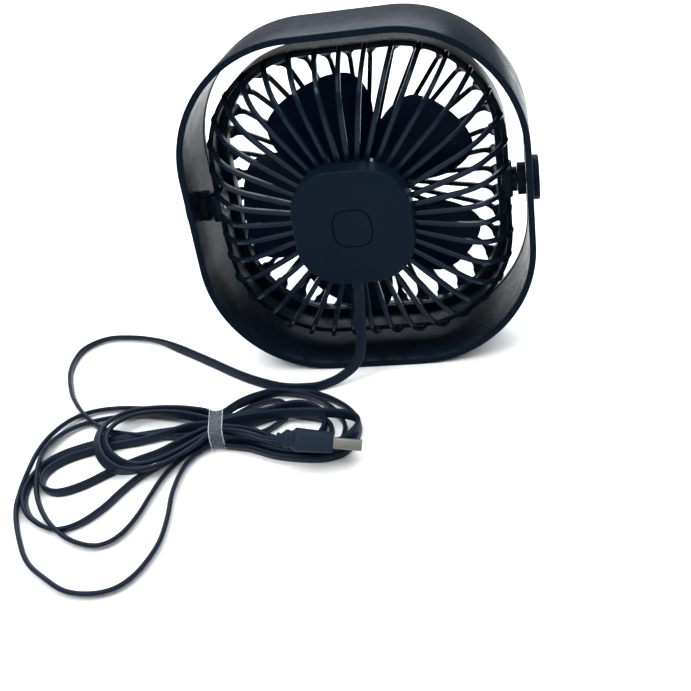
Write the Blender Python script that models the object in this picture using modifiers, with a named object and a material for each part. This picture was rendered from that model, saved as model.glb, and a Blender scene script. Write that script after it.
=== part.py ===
"""Desk fan in a loop stand, with its flat USB lead lying on the table beside it.

Frame: metres, +Z up. The origin is the middle of the stand's flat underside, the
fan blows towards -Y and its motor cover faces +Y.
"""
import math

import bmesh
import bpy
import numpy as np
from mathutils import Matrix, Vector

# ---------------------------------------------------------------- driving sizes
BAND_WIDTH = 0.1480
BAND_HEIGHT = 0.1518
BAND_DEPTH = 0.0410
BAND_WALL = 0.0027
BAND_CORNER = 0.0550
BAND_EDGE = 0.0005                # broken edges of the moulding

MIDDLE = BAND_HEIGHT / 2          # height of the head's own centre
HEAD_CENTRE = Vector((0.0, 0.0, MIDDLE))
PIVOT = Vector((0.0, 0.0040, MIDDLE + 0.0035))

HEAD_WIDE = 0.0646                # half the width and half the height of the head
HEAD_HIGH = 0.0663
HEAD_CORNER = 0.0460
RING_BACK = 0.0030                # the rear shell's solid rim, front to back
RING_FRONT = -0.0120
RING_WALL = 0.0022
LIP = 0.0055                      # how far the rim's front lip reaches inwards
LIP_THICKNESS = 0.0020
FLANGE = 0.0030                   # thickness of the front grille's outer ring

RIBS = 40
RIB_WIDTH = 0.0020
# (inset from the outline, y): up the side of the bowl, round its shoulder, across its back
REAR_RIB = ((0.0012, -0.0010), (0.0012, 0.0036), (0.0036, 0.0104), (0.0072, 0.0160),
            (0.0114, 0.0203), (0.0180, 0.0230))
REAR_ROOT = (0.0235, 0.0234)      # distance from the axis and y where the rear ribs end
# the front grille is shallower: out of its flange, round the edge, across the front
FRONT_RIB = ((0.0035, -0.0136), (0.0060, -0.0170), (0.0095, -0.0200), (0.0150, -0.0218))
FRONT_ROOT = (0.0165, -0.0222)
FRONT_HUB = 0.0175                # radius of the disc in the middle of the front grille
FRONT_HUB_SPAN = (-0.0240, -0.0206)
BADGE_RADIUS = 0.0150

SEAT_HALF = 0.0246                # plate that carries the motor and the cover
SEAT_CORNER = 0.0182
SEAT_FRONT = 0.0206
SEAT_BACK = 0.0250

COVER_HALF = 0.02505
COVER_CORNER = 0.0187
COVER_BACK = 0.0355
COVER_EDGE = 0.0011
COVER_WALL = 0.0016
COVER_PLATE = 0.0018

BUTTON_HALF = 0.0079
BUTTON_CORNER = 0.0056
BUTTON_SKIRT = 0.0012             # how far its hidden skirt reaches under the cover
SKIRT_FRONT = COVER_BACK - COVER_PLATE - 0.0014

GAP = 0.0003                      # between pieces that touch
RUNNING = 0.00005                 # radial clearance of a shaft in its hole
THROUGH = 0.0010                  # how far a cutter stands out past what it cuts
SHAFT_RADIUS = 0.0010
BOLT_RADIUS = 0.0020
NECK_RADIUS = 0.00525
WASHER_RADIUS = 0.0068
WASHER_THICKNESS = 0.0033
CAP_RADIUS = 0.0095
CAP_THICKNESS = 0.0026

SOCKET_RADIUS = 0.0143            # ring behind which the motor sits
MOTOR_RADIUS = 0.0120
MOTOR_FRONT = 0.0040
MOTOR_BACK = 0.0180
BEARING_RADIUS = 0.0030

HUB_RADIUS = 0.0155
HUB_FRONT = -0.0095
HUB_BACK = 0.0100
HUB_WALL = 0.0018
BLADES = 5
BLADE_ROOT = 0.0146
BLADE_TIP = 0.0540
BLADE_THICKNESS = 0.0015
BLADE_MIDDLE = -0.0008            # y of a blade's own middle
BLADE_PHASE = math.radians(37.0)
BLADE_PITCH = (0.0104, 0.0221)    # rise in y for each radian across, at the root and the tip
# angular width of a blade, in degrees, at some distances from the axis
BLADE_RADII = (0.0146, 0.0200, 0.0280, 0.0350, 0.0420, 0.0480, 0.0520, 0.0535, 0.0540)
BLADE_WIDTHS = (58.0, 62.0, 66.0, 66.0, 58.0, 50.0, 43.0, 35.0, 24.0)

SCREW_SPOTS = ((-0.0125, "left"), (0.0125, "right"))
SCREW_DROP = 0.0060               # how far below the head's centre the two screws are
BOARD_BACK = SEAT_BACK + 0.0038
BOARD_THICKNESS = 0.0012

CORD_RADIUS = 0.0016
CORD_BASE = 0.0021                # height of the lead's middle where it lies on the table
EXIT = Vector((0.0018, 0.0305, MIDDLE - COVER_HALF - 0.0050))
PLUG_START = Vector((0.0246, 0.0955, 0.0146))
PLUG_POINTS = Vector((-0.973, -0.080, -0.216))   # the way the plug points, along its length
PLUG_ROLL = math.radians(-36.0)
GRIP_LENGTH = 0.0155
SHELL_LENGTH = 0.0112
SHELL_WIDTH = 0.0120
SHELL_THICKNESS = 0.0045
SHELL_WALL = 0.0004

CORNER_STEPS = 8                  # flats in each round corner
ROUND = 24                        # flats round a turned piece


# ---------------------------------------------------------------- scene set-up
for old in list(bpy.data.objects):
    bpy.data.objects.remove(old, do_unlink=True)

PARTS = bpy.data.collections.new("desk_fan")
CUTTERS = bpy.data.collections.new("desk_fan_cutters")
bpy.context.scene.collection.children.link(PARTS)
bpy.context.scene.collection.children.link(CUTTERS)


def material(name, colour, roughness=0.5, metallic=0.0, alpha=1.0):
    made = bpy.data.materials.new(name)
    made.use_nodes = True
    shader = made.node_tree.nodes["Principled BSDF"]
    shader.inputs["Base Color"].default_value = (*colour, 1.0)
    shader.inputs["Roughness"].default_value = roughness
    shader.inputs["Metallic"].default_value = metallic
    shader.inputs["Alpha"].default_value = alpha
    return made


NAVY = material("navy_plastic", (0.016, 0.031, 0.058), 0.50)
NAVY_BLADE = material("blade_plastic", (0.006, 0.012, 0.030), 0.38)
RUBBER = material("black_rubber", (0.010, 0.010, 0.012), 0.85)
STEEL = material("steel", (0.55, 0.55, 0.53), 0.35, 1.0)
BRONZE = material("bearing_bronze", (0.50, 0.33, 0.16), 0.45, 1.0)
COPPER = material("wound_copper", (0.62, 0.27, 0.12), 0.40, 1.0)
BOARD = material("board_green", (0.02, 0.14, 0.06), 0.55)
SWITCH = material("switch_black", (0.012, 0.012, 0.013), 0.55)
CORD = material("cord_jacket", (0.030, 0.036, 0.072), 0.42)
CLEAR = material("clear_film", (0.82, 0.84, 0.85), 0.15, alpha=0.45)
TONGUE = material("contact_white", (0.75, 0.75, 0.72), 0.45)


# ---------------------------------------------------------------- shape helpers
def add(name, data, look, collection=PARTS, place=None):
    """Wrap a mesh or a curve as an object, at a place given as a matrix."""
    made = bpy.data.objects.new(name, data)
    collection.objects.link(made)
    if look is not None:
        data.materials.append(look)
    if place is not None:
        made.matrix_world = place
    if collection is CUTTERS:
        made.hide_render = True
        made.display_type = 'WIRE'
    return made


def to_mesh(bm, name):
    mesh = bpy.data.meshes.new(name)
    bm.to_mesh(mesh)
    bm.free()
    return mesh


def settle(made, degrees=35.0):
    """Apply an object's modifiers and shade it smooth between its sharp edges."""
    bpy.context.view_layer.update()
    graph = bpy.context.evaluated_depsgraph_get()
    mesh = bpy.data.meshes.new_from_object(made.evaluated_get(graph))
    made.modifiers.clear()
    made.data = mesh
    mesh.shade_smooth()
    mesh.set_sharp_from_angle(angle=math.radians(degrees))
    return made


def combine(target, others, operation):
    """Join or cut with each of the others in turn, then drop them."""
    for other in others:
        step = target.modifiers.new(operation.lower(), 'BOOLEAN')
        step.operation = operation
        step.object = other
    settle(target)
    for other in others:
        bpy.data.objects.remove(other, do_unlink=True)
    return target


AXIS_TURN = {'X': Matrix.Rotation(math.pi / 2, 4, 'Y'),
             'Y': Matrix.Rotation(-math.pi / 2, 4, 'X'),
             'Z': Matrix.Identity(4)}


def turned(name, profile, look, axis='Y', centre=HEAD_CENTRE, sides=ROUND, collection=PARTS):
    """A profile of (radius, along) turned round an axis with a Screw modifier.

    One that starts and ends at radius 0 is a solid, and any other closes on itself.
    """
    closing = profile[1:] + profile[:1]
    area = sum(a[0] * b[1] - b[0] * a[1] for a, b in zip(profile, closing))
    if area > 0.0:                # its outer side has to run down, top to bottom
        profile = profile[::-1]
    bm = bmesh.new()
    verts = [bm.verts.new((radius, 0.0, along)) for radius, along in profile]
    for one, other in zip(verts, verts[1:]):
        bm.edges.new((one, other))
    if profile[0][0] > 0.0:
        bm.edges.new((verts[-1], verts[0]))
    made = add(name, to_mesh(bm, name), look, collection,
               Matrix.Translation(centre) @ AXIS_TURN[axis])
    screw = made.modifiers.new("turn", 'SCREW')
    screw.axis = 'Z'
    screw.steps = sides
    screw.render_steps = sides
    screw.use_merge_vertices = True
    screw.merge_threshold = 0.00001
    return settle(made)


def sleeve(name, inner, outer, start, end, look, **options):
    return turned(name, [(inner, start), (outer, start), (outer, end), (inner, end)], look, **options)


def rod(name, radius, start, end, look, axis='Y', centre=HEAD_CENTRE, sides=ROUND, collection=PARTS):
    bm = bmesh.new()
    bmesh.ops.create_cone(bm, cap_ends=True, segments=sides, radius1=radius, radius2=radius,
                          depth=abs(end - start))
    place = (Matrix.Translation(centre) @ AXIS_TURN[axis]
             @ Matrix.Translation((0.0, 0.0, (start + end) / 2)))
    return settle(add(name, to_mesh(bm, name), look, collection, place))


def block(name, low, high, look, place=None, collection=PARTS):
    """A box between two corners."""
    bm = bmesh.new()
    bmesh.ops.create_cube(bm, size=1.0)
    low, high = Vector(low), Vector(high)
    size = Matrix.Diagonal((*(high - low), 1.0))
    bmesh.ops.transform(bm, matrix=Matrix.Translation((low + high) / 2) @ size, verts=bm.verts)
    return add(name, to_mesh(bm, name), look, collection, place)


def rounded_box(name, half, corner, front, back, look, back_edge=0.0, front_edge=0.0, wall=0.0,
                steps=CORNER_STEPS, place=None, collection=PARTS):
    """A box from y = front to y = back whose four long edges are bevelled into round corners.

    half is half its side, or half its width and half its height. back_edge and front_edge
    are the widths of a small bevel round either face. A wall leaves it a tube, open at both
    faces and Solidified inwards.
    """
    half_wide, half_high = half if isinstance(half, tuple) else (half, half)
    bm = bmesh.new()
    bmesh.ops.create_cube(bm, size=1.0)
    size = Matrix.Diagonal((2 * half_wide, back - front, 2 * half_high, 1.0))
    middle = Matrix.Translation((0.0, (front + back) / 2, 0.0))
    bmesh.ops.transform(bm, matrix=middle @ size, verts=bm.verts)
    long_edges = [edge for edge in bm.edges
                  if abs(edge.verts[0].co.y - edge.verts[1].co.y) > (back - front) / 2]
    bmesh.ops.bevel(bm, geom=long_edges, offset=corner, offset_type='OFFSET', segments=steps,
                    profile=0.5, affect='EDGES', clamp_overlap=False)
    for y, width in ((front, front_edge), (back, back_edge)):
        if width > 0.0:
            rim = [edge for edge in bm.edges
                   if all(abs(vert.co.y - y) < 1e-6 for vert in edge.verts)]
            bmesh.ops.bevel(bm, geom=rim, offset=width, offset_type='OFFSET', segments=2,
                            profile=0.5, affect='EDGES', clamp_overlap=False)
    if wall > 0.0:
        ends = [face for face in bm.faces if abs(face.normal.y) > 0.5]
        bmesh.ops.delete(bm, geom=ends, context='FACES')
    if place is None:
        place = Matrix.Translation(HEAD_CENTRE)
    made = add(name, to_mesh(bm, name), look, collection, place)
    if wall > 0.0:
        shell = made.modifiers.new("wall", 'SOLIDIFY')
        shell.thickness = wall
        shell.offset = -1.0
        shell.use_even_offset = True
    return made


def smooth_points(points, spacing):
    """Points at an even spacing along a Catmull-Rom curve through the given ones."""
    points = [Vector(point) for point in points]
    last = len(points) - 1
    fine = []
    for i in range(last):
        four = [points[min(max(i + k, 0), last)] for k in (-1, 0, 1, 2)]
        for step in range(24):
            t = step / 24
            fine.append(0.5 * (2 * four[1] + (four[2] - four[0]) * t
                               + (2 * four[0] - 5 * four[1] + 4 * four[2] - four[3]) * t * t
                               + (3 * four[1] - four[0] - 3 * four[2] + four[3]) * t ** 3))
    fine.append(points[-1])
    lengths = [0.0]
    for one, other in zip(fine, fine[1:]):
        lengths.append(lengths[-1] + (other - one).length)
    steps = max(2, round(lengths[-1] / spacing))
    even, at = [], 0
    for step in range(steps + 1):
        target = lengths[-1] * step / steps
        while at < len(lengths) - 2 and lengths[at + 1] < target:
            at += 1
        share = (target - lengths[at]) / (lengths[at + 1] - lengths[at])
        even.append(fine[at].lerp(fine[at + 1], share))
    return even


def poly_curve(name, points, bevel, resolution, tilt=0.0):
    """A bar or a tube along the points, with filled caps."""
    curve = bpy.data.curves.new(name, 'CURVE')
    curve.dimensions = '3D'
    curve.bevel_depth = bevel
    curve.bevel_resolution = resolution
    curve.use_fill_caps = True
    line = curve.splines.new('POLY')
    line.points.add(len(points) - 1)
    for target, point in zip(line.points, points):
        target.co = (*point, 1.0)
        target.tilt = tilt
    return curve


# ---------------------------------------------------------------- the head's outline
def head_box(name, inset, front, back, look, **options):
    """A solid of the head's outline, moved inwards by inset."""
    half = (HEAD_WIDE - inset, HEAD_HIGH - inset)
    return rounded_box(name, half, HEAD_CORNER - inset, front, back, look, **options)


def reach(angle, inset):
    """Distance from the head's axis to its outline, moved inwards by inset."""
    across, up = max(abs(math.cos(angle)), 1e-9), max(abs(math.sin(angle)), 1e-9)
    flat_wide, flat_high = HEAD_WIDE - HEAD_CORNER, HEAD_HIGH - HEAD_CORNER
    to_side, to_top = (HEAD_WIDE - inset) / across, (HEAD_HIGH - inset) / up
    if to_side * up <= flat_high:
        return to_side
    if to_top * across <= flat_wide:
        return to_top
    # onto the round corner, a circle about the end of both flats
    corner = HEAD_CORNER - inset
    along = flat_wide * across + flat_high * up
    return along + math.sqrt(along ** 2 - (flat_wide ** 2 + flat_high ** 2 - corner ** 2))


def rib_turn(angle):
    """Turns +X to the direction at an angle counter-clockwise from -X, seen from behind."""
    return Matrix.Rotation(angle + math.pi, 4, 'Y')


def ribs(name, stations, root):
    """Square bars from the head's outline to its middle, as one cutter object."""
    bm = bmesh.new()
    for count in range(RIBS):
        angle = 2 * math.pi * count / RIBS
        path = [(reach(angle, inset), y, 0.0) for inset, y in stations]
        path.append((*root, 0.0))
        # four sides, turned by an eighth, make a square bar
        bar = add("bar", poly_curve("bar", path, RIB_WIDTH / math.sqrt(2), 0, math.pi / 4), None,
                  CUTTERS, Matrix.Translation(HEAD_CENTRE) @ rib_turn(angle))
        bpy.context.view_layer.update()
        graph = bpy.context.evaluated_depsgraph_get()
        mesh = bpy.data.meshes.new_from_object(bar.evaluated_get(graph))
        mesh.transform(bar.matrix_world)
        bm.from_mesh(mesh)
        bpy.data.objects.remove(bar, do_unlink=True)
    bmesh.ops.remove_doubles(bm, verts=bm.verts, dist=0.00001)
    return add(name, to_mesh(bm, name), None, CUTTERS)


# ---------------------------------------------------------------- stand
def make_stand():
    half = (BAND_WIDTH / 2, BAND_HEIGHT / 2)
    band = rounded_box("stand_band", half, BAND_CORNER, -BAND_DEPTH / 2, BAND_DEPTH / 2, NAVY,
                       wall=BAND_WALL, steps=12)
    edges = band.modifiers.new("edges", 'BEVEL')
    edges.width = BAND_EDGE
    edges.segments = 1
    edges.limit_method = 'ANGLE'
    edges.angle_limit = math.radians(50.0)
    hole = rod("band_hole", BOLT_RADIUS + RUNNING, -BAND_WIDTH, BAND_WIDTH, None, axis='X',
               centre=PIVOT, collection=CUTTERS)
    combine(band, [hole], 'DIFFERENCE')

    for side, name in ((-1, "left"), (1, "right")):
        inside = side * (BAND_WIDTH / 2 - BAND_WALL - GAP)
        outside = side * (BAND_WIDTH / 2 + GAP)
        sleeve(f"pivot_washer_{name}", BOLT_RADIUS + RUNNING, WASHER_RADIUS,
               inside - side * WASHER_THICKNESS, inside, RUBBER, axis='X', centre=PIVOT)
        # the cap is hollow under its middle, where the bolt's head is
        end = outside + side * CAP_THICKNESS
        edge = end - side * 0.0007
        cap = [(0.0, edge), (0.0044, edge), (0.0044, outside), (CAP_RADIUS, outside),
               (CAP_RADIUS, edge), (CAP_RADIUS - 0.0007, end), (0.0, end)]
        turned(f"pivot_cap_{name}", cap, NAVY, axis='X', centre=PIVOT)


# ---------------------------------------------------------------- tilting head
def make_rear_grille():
    grille = head_box("rear_grille", 0.0, RING_FRONT, RING_BACK, NAVY)
    inside = head_box("rim_inside", RING_WALL, RING_FRONT + LIP_THICKNESS, RING_BACK + THROUGH,
                      None, collection=CUTTERS)
    mouth = head_box("rim_mouth", LIP, RING_FRONT - THROUGH, RING_BACK, None, collection=CUTTERS)
    combine(grille, [inside, mouth], 'DIFFERENCE')

    seat = rounded_box("seat", SEAT_HALF, SEAT_CORNER, SEAT_FRONT, SEAT_BACK, None,
                       collection=CUTTERS)
    holes = []
    for x, _ in SCREW_SPOTS:
        holes.append(rod("screw_hole", 0.0013, SEAT_BACK - 0.0032, SEAT_BACK + THROUGH, None,
                         sides=12, centre=(x, 0.0, MIDDLE - SCREW_DROP), collection=CUTTERS))
    combine(seat, holes, 'DIFFERENCE')
    socket = sleeve("motor_socket", MOTOR_RADIUS + GAP, SOCKET_RADIUS, 0.0150, SEAT_FRONT + 0.0010,
                    None, collection=CUTTERS)
    joined = [ribs("rear_ribs", REAR_RIB, REAR_ROOT), seat, socket]
    for side in (-1, 1):
        lug_inner, lug_outer = side * 0.0612, side * 0.0652
        low = Vector((min(lug_inner, lug_outer), -0.0080, -0.0062))
        high = Vector((max(lug_inner, lug_outer), 0.0062, 0.0062))
        joined.append(block("lug", low + PIVOT, high + PIVOT, None, collection=CUTTERS))
        neck_end = BAND_WIDTH / 2 - BAND_WALL - WASHER_THICKNESS - 2 * GAP
        joined.append(rod("neck", NECK_RADIUS, side * 0.0635, side * neck_end, None, axis='X',
                          centre=PIVOT, collection=CUTTERS))
    combine(grille, joined, 'UNION')
    bolt_hole = rod("bolt_hole", BOLT_RADIUS + GAP, -BAND_WIDTH / 2, BAND_WIDTH / 2, None, axis='X',
                    centre=PIVOT, collection=CUTTERS)
    combine(grille, [bolt_hole], 'DIFFERENCE')

    for side, name in ((-1, "left"), (1, "right")):
        start, shoulder = side * 0.0610, side * (BAND_WIDTH / 2 + GAP)
        head = shoulder + side * 0.0015
        bolt = [(0.0, start), (BOLT_RADIUS, start), (BOLT_RADIUS, shoulder), (0.0040, shoulder),
                (0.0040, head), (0.0, head)]
        turned(f"pivot_bolt_{name}", bolt, STEEL, axis='X', centre=PIVOT)


def make_front_grille():
    back = RING_FRONT - GAP
    grille = head_box("front_grille", 0.0, back - FLANGE, back, NAVY, front_edge=0.0014)
    mouth = head_box("flange_mouth", LIP, back - FLANGE - THROUGH, back + THROUGH, None,
                     collection=CUTTERS)
    combine(grille, [mouth], 'DIFFERENCE')
    hub = rod("front_hub", FRONT_HUB, *FRONT_HUB_SPAN, None, collection=CUTTERS, sides=40)
    combine(grille, [ribs("front_ribs", FRONT_RIB, FRONT_ROOT), hub], 'UNION')
    badge_back = FRONT_HUB_SPAN[0] - GAP
    badge = [(0.0, badge_back - 0.0013), (BADGE_RADIUS - 0.0010, badge_back - 0.0013),
             (BADGE_RADIUS, badge_back - 0.0007), (BADGE_RADIUS, badge_back), (0.0, badge_back)]
    turned("front_badge", badge, NAVY, sides=32)


# ---------------------------------------------------------------- motor and blades
def make_motor():
    wall = 0.0012
    can = [(BEARING_RADIUS + GAP, MOTOR_FRONT), (MOTOR_RADIUS, MOTOR_FRONT),
           (MOTOR_RADIUS, MOTOR_BACK), (MOTOR_RADIUS - 0.0010, MOTOR_BACK),
           (MOTOR_RADIUS - 0.0010, MOTOR_FRONT + wall), (BEARING_RADIUS + GAP, MOTOR_FRONT + wall)]
    turned("motor_can", can, STEEL)
    cap_back = SEAT_FRONT - GAP
    sleeve("motor_end_cap", BEARING_RADIUS + GAP, MOTOR_RADIUS, MOTOR_BACK + GAP, cap_back, SWITCH)
    sleeve("motor_magnet", 0.0099, 0.0107, MOTOR_FRONT + 0.0035, MOTOR_BACK - 0.0015, RUBBER)
    bore = SHAFT_RADIUS + RUNNING
    sleeve("front_bearing", bore, BEARING_RADIUS, MOTOR_FRONT - 0.0003, MOTOR_FRONT + 0.0026, BRONZE)
    sleeve("rear_bearing", bore, BEARING_RADIUS, MOTOR_BACK - 0.0003, cap_back, BRONZE)
    sleeve("motor_armature", SHAFT_RADIUS + GAP, 0.0093, MOTOR_FRONT + 0.0036, MOTOR_BACK - 0.0016,
           COPPER)
    rod("motor_shaft", SHAFT_RADIUS, -0.0070, SEAT_FRONT - 0.0008, STEEL)


def blade(name, middle_angle):
    """One swept blade: a flat grid laid out over its surface, then given its thickness."""
    bm = bmesh.new()
    bmesh.ops.create_grid(bm, x_segments=9, y_segments=6, size=0.5)
    for vert in bm.verts:
        # stations come closer together towards the rounded tip
        share = 1.0 - (0.5 - vert.co.x) ** 1.7
        radius = BLADE_ROOT + (BLADE_TIP - BLADE_ROOT) * share
        turn = math.radians(np.interp(radius, BLADE_RADII, BLADE_WIDTHS)) * vert.co.y
        pitch = BLADE_PITCH[0] + (BLADE_PITCH[1] - BLADE_PITCH[0]) * share
        flat = Vector((radius, BLADE_MIDDLE + pitch * turn, 0.0))
        vert.co = HEAD_CENTRE + rib_turn(middle_angle + turn) @ flat
    made = add(name, to_mesh(bm, name), None, CUTTERS)
    solid = made.modifiers.new("thickness", 'SOLIDIFY')
    solid.thickness = BLADE_THICKNESS
    solid.offset = 0.0
    return made


def make_impeller():
    floor = HUB_FRONT + HUB_WALL
    boss = BEARING_RADIUS + 0.0002
    cup = [(0.0, HUB_FRONT), (HUB_RADIUS, HUB_FRONT), (HUB_RADIUS, HUB_BACK),
           (HUB_RADIUS - HUB_WALL, HUB_BACK), (HUB_RADIUS - HUB_WALL, floor), (boss, floor),
           (boss, -0.0010), (SHAFT_RADIUS + GAP, -0.0010), (SHAFT_RADIUS + GAP, floor), (0.0, floor)]
    impeller = turned("impeller", cup, NAVY_BLADE, sides=40)
    blades = [blade(f"blade_{count}", BLADE_PHASE + 2 * math.pi * count / BLADES)
              for count in range(BLADES)]
    combine(impeller, blades, 'UNION')


# ---------------------------------------------------------------- cover, button, board
def make_cover():
    front = SEAT_BACK + GAP
    cover = rounded_box("motor_cover", COVER_HALF, COVER_CORNER, front, COVER_BACK, NAVY,
                        back_edge=COVER_EDGE)
    hollow = rounded_box("cover_hollow", COVER_HALF - COVER_WALL, COVER_CORNER - COVER_WALL,
                         front - THROUGH, COVER_BACK - COVER_PLATE, None, collection=CUTTERS)
    window = rounded_box("button_window", BUTTON_HALF + GAP, BUTTON_CORNER + GAP,
                         COVER_BACK - 0.0040, COVER_BACK + THROUGH, None, collection=CUTTERS)
    outlet = rod("cord_outlet", 0.0027, -0.0030, 0.0030, None, axis='Z', sides=16,
                 centre=(EXIT.x, EXIT.y, MIDDLE - COVER_HALF), collection=CUTTERS)
    combine(cover, [hollow, window, outlet], 'DIFFERENCE')


def make_button():
    skirt_back = COVER_BACK - COVER_PLATE - GAP
    button = rounded_box("power_button", BUTTON_HALF, BUTTON_CORNER, SKIRT_FRONT + 0.0002,
                         COVER_BACK, NAVY, back_edge=0.0003)
    skirt = rounded_box("button_skirt", BUTTON_HALF + BUTTON_SKIRT, BUTTON_CORNER + BUTTON_SKIRT,
                        SKIRT_FRONT, skirt_back, None, collection=CUTTERS)
    combine(button, [skirt], 'UNION')


def make_board():
    board = rounded_box("circuit_board", 0.0185, 0.0110, BOARD_BACK - BOARD_THICKNESS, BOARD_BACK,
                        BOARD)
    holes = []
    head = BOARD_BACK + GAP
    for x, name in SCREW_SPOTS:
        centre = (x, 0.0, MIDDLE - SCREW_DROP)
        holes.append(rod("board_hole", 0.0012, BOARD_BACK - 0.0030, BOARD_BACK + THROUGH, None,
                         sides=12, centre=centre, collection=CUTTERS))
        screw = [(0.0, SEAT_BACK - 0.0028), (0.0009, SEAT_BACK - 0.0028), (0.0009, head),
                 (0.0018, head), (0.0018, head + 0.0010), (0.0, head + 0.0010)]
        turned(f"board_screw_{name}", screw, STEEL, sides=12, centre=centre)
    combine(board, holes, 'DIFFERENCE')

    body_front, body_back = BOARD_BACK + GAP, BOARD_BACK + 0.0024
    body = block("switch_body", (-0.0030, body_front, MIDDLE - 0.0030),
                 (0.0030, body_back, MIDDLE + 0.0030), SWITCH)
    well = rod("switch_well", 0.0017, body_front + 0.0004, body_back + THROUGH, None, sides=16,
               collection=CUTTERS)
    combine(body, [well], 'DIFFERENCE')
    rod("switch_plunger", 0.0014, body_front + 0.0013, SKIRT_FRONT - GAP, TONGUE, sides=16)


# ---------------------------------------------------------------- lead
# from under the strain relief, down to the table, round to where the loose loops start
FREE_ROUTE = (
    (0.0018, 0.0305, 0.0456), (0.0022, 0.0308, 0.0410), (0.0028, 0.0313, 0.0330),
    (0.0036, 0.0320, 0.0240), (0.0050, 0.0328, 0.0160), (0.0080, 0.0336, 0.0100),
    (0.0125, 0.0346, 0.0062), (0.0190, 0.0365, 0.0034), (0.0290, 0.0388, CORD_BASE),
    (0.0430, 0.0372, CORD_BASE), (0.0620, 0.0270, CORD_BASE), (0.0840, 0.0104, CORD_BASE),
    (0.1030, -0.0036, CORD_BASE), (0.1200, -0.0145, CORD_BASE), (0.1350, -0.0186, CORD_BASE),
    (0.1465, -0.0182, CORD_BASE), (0.1548, -0.0102, CORD_BASE), (0.1560, 0.0028, CORD_BASE),
    (0.1530, 0.0172, CORD_BASE), (0.1460, 0.0330, CORD_BASE), (0.1405, 0.0420, CORD_BASE),
)
# the near side of the tied hank's right-hand loop, which passes under the plug
NEAR_RUN = (
    (0.0568, 0.0832, CORD_BASE), (0.0450, 0.0890, CORD_BASE), (0.0330, 0.0930, CORD_BASE),
    (0.0200, 0.0945, CORD_BASE), (0.0100, 0.0935, CORD_BASE), (0.0040, 0.0885, CORD_BASE),
    (0.0020, 0.0810, CORD_BASE),
)
# outer shapes of the bundles of turns, in plan
LOOPS_OUTLINE = (
    (0.0715, 0.0620), (0.0900, 0.0530), (0.1080, 0.0500), (0.1240, 0.0500), (0.1370, 0.0520),
    (0.1440, 0.0720), (0.1440, 0.1000), (0.1380, 0.1260), (0.1220, 0.1500), (0.1020, 0.1660),
    (0.0820, 0.1680), (0.0700, 0.1560), (0.0690, 0.1340), (0.0720, 0.1080), (0.0715, 0.0860),
)
LEFT_OUTLINE = (
    (0.0715, 0.0640), (0.0900, 0.0560), (0.1080, 0.0530), (0.1200, 0.0600), (0.1240, 0.0740),
    (0.1180, 0.0900), (0.1060, 0.0980), (0.0900, 0.0960), (0.0715, 0.0830),
)
RIGHT_OUTLINE = (
    (0.0710, 0.0652), (0.0590, 0.0645), (0.0460, 0.0480), (0.0330, 0.0430), (0.0180, 0.0480),
    (0.0060, 0.0600), (0.0015, 0.0720), (0.0040, 0.0760), (0.0280, 0.0700), (0.0440, 0.0740),
    (0.0580, 0.0790), (0.0710, 0.0794),
)
TIE_LOW = Vector((0.0612, 0.0617, 0.0006))
TIE_HIGH = Vector((0.0692, 0.0826, 0.0106))


def tube(name, route, spacing, look):
    return add(name, poly_curve(name, smooth_points(route, spacing), CORD_RADIUS, 2), look)


def flat_solid(name, outline, bottom, top, look):
    """The outer shape of a bundle of turns: a closed flat outline with a height."""
    curve = bpy.data.curves.new(name, 'CURVE')
    curve.dimensions = '2D'
    curve.fill_mode = 'BOTH'
    curve.extrude = (top - bottom) / 2
    points = smooth_points([(x, y, 0.0) for x, y in outline], 0.0060)
    line = curve.splines.new('POLY')
    line.points.add(len(points) - 1)
    line.use_cyclic_u = True
    for target, point in zip(line.points, points):
        target.co = (*point, 1.0)
    return add(name, curve, look, place=Matrix.Translation((0.0, 0.0, (bottom + top) / 2)))


def make_lead():
    under_cover = MIDDLE - COVER_HALF
    start, collar = EXIT.z + GAP, under_cover + COVER_WALL + GAP
    relief = [(0.0, start), (0.0021, start), (0.0024, under_cover + 0.0004), (0.0024, collar),
              (0.0032, collar), (0.0032, collar + 0.0010), (0.0, collar + 0.0010)]
    turned("strain_relief", relief, NAVY, axis='Z', centre=(EXIT.x, EXIT.y, 0.0), sides=16)
    tube("usb_cord", FREE_ROUTE, 0.0075, CORD)
    tube("cord_hank_run", NEAR_RUN, 0.0065, CORD)
    flat_solid("cord_loops", LOOPS_OUTLINE, 0.0002, 0.0042, CORD)
    flat_solid("cord_hank_left", LEFT_OUTLINE, 0.0045, 0.0098, CORD)
    flat_solid("cord_hank_right", RIGHT_OUTLINE, 0.0014, 0.0098, CORD)

    # clear tie round the waist of the hank, a flat strip bent into a loop
    size, middle = TIE_HIGH - TIE_LOW, (TIE_HIGH + TIE_LOW) / 2
    across = Matrix.Translation(middle) @ Matrix.Rotation(math.pi / 2, 4, 'Z')
    rounded_box("cord_tie", (size.y / 2, size.z / 2), 0.0024, -size.x / 2, size.x / 2, CLEAR,
                wall=0.0005, steps=4, place=across)


# ---------------------------------------------------------------- plug
def grip_section(x, wide, thick, corner):
    """A rounded rectangle across the plug's length, at x along it."""
    points = []
    for quarter, (side_y, side_z) in enumerate(((1, 1), (-1, 1), (-1, -1), (1, -1))):
        for step in range(4):
            angle = math.pi / 2 * (quarter + step / 3)
            points.append(Vector((x, side_y * (wide / 2 - corner) + corner * math.cos(angle),
                                  side_z * (thick / 2 - corner) + corner * math.sin(angle))))
    return points


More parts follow.
